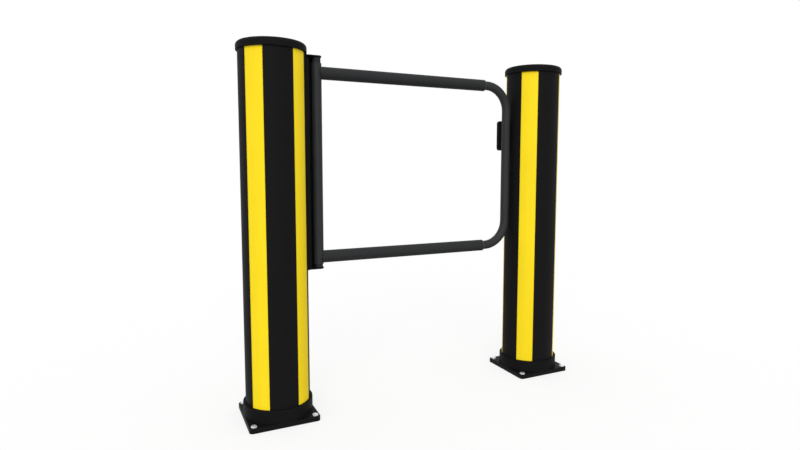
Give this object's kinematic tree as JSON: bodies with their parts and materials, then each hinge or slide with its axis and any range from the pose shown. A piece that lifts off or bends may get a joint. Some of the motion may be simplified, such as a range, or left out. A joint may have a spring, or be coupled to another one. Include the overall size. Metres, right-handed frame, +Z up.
{
  "type": "pedestrian swing gate",
  "caption": "Pedestrian swing gate: a bent tube leaf with rail sleeves turns on a vertical hinge between round black posts with yellow strips, caps and bolted base plates.",
  "frame": {"origin": "centre of the underside of the hinge post's base plate, on the paving", "axes": "+X along the closed gate from the hinge post to the latch post, +Z up, the gate opens towards -Y"},
  "size_m": [1.22, 0.22, 1.176],
  "materials": {
    "black_polymer": "satin black moulded polymer",
    "yellow_polymer": "satin signal yellow polymer",
    "black_plate": "satin black coated steel",
    "black_steel": "satin black coated steel",
    "grey_steel": "satin dark grey coated steel",
    "grey_sleeve": "matt dark grey polymer sleeve",
    "bright_steel": "turned steel",
    "bush_nylon": "black bearing polymer",
    "black_rubber": "matt black rubber"
  },
  "bodies": {
    "posts": {"hinge_post_base_plate": "black_plate", "hinge_post_collar": "black_polymer", "hinge_post_tube": "black_polymer", "hinge_post_cap": "black_polymer", "hinge_post_strip_1": "yellow_polymer", "hinge_post_strip_2": "yellow_polymer", "hinge_post_strip_3": "yellow_polymer", "hinge_post_strip_4": "yellow_polymer", "latch_post_base_plate": "black_plate", "latch_post_collar": "black_polymer", "latch_post_tube": "black_polymer", "latch_post_cap": "black_polymer", "latch_post_strip_1": "yellow_polymer", "latch_post_strip_2": "yellow_polymer", "latch_post_strip_3": "yellow_polymer", "latch_post_strip_4": "yellow_polymer", "hinge_saddle": "black_steel", "hinge_spine": "black_steel", "hinge_top_plate": "black_steel", "hinge_bottom_plate": "black_steel", "hinge_top_pin": "bright_steel", "hinge_bottom_pin": "bright_steel", "stop_block": "black_polymer", "stop_pad": "black_rubber"},
    "gate": {"gate_stile": "grey_steel", "gate_top_bush": "bush_nylon", "gate_bottom_bush": "bush_nylon", "gate_loop": "grey_steel", "gate_top_sleeve": "grey_sleeve", "gate_bottom_sleeve": "grey_sleeve", "gate_top_ring": "grey_sleeve", "gate_bottom_ring": "grey_sleeve"}
  },
  "joints": [
    {"name": "gate_swing", "type": "hinge", "parent": "posts", "child": "gate", "pos_m": [0.1415, 0, 0.8], "axis": [0, 0, -1], "range_deg": [0, 90]}
  ]
}
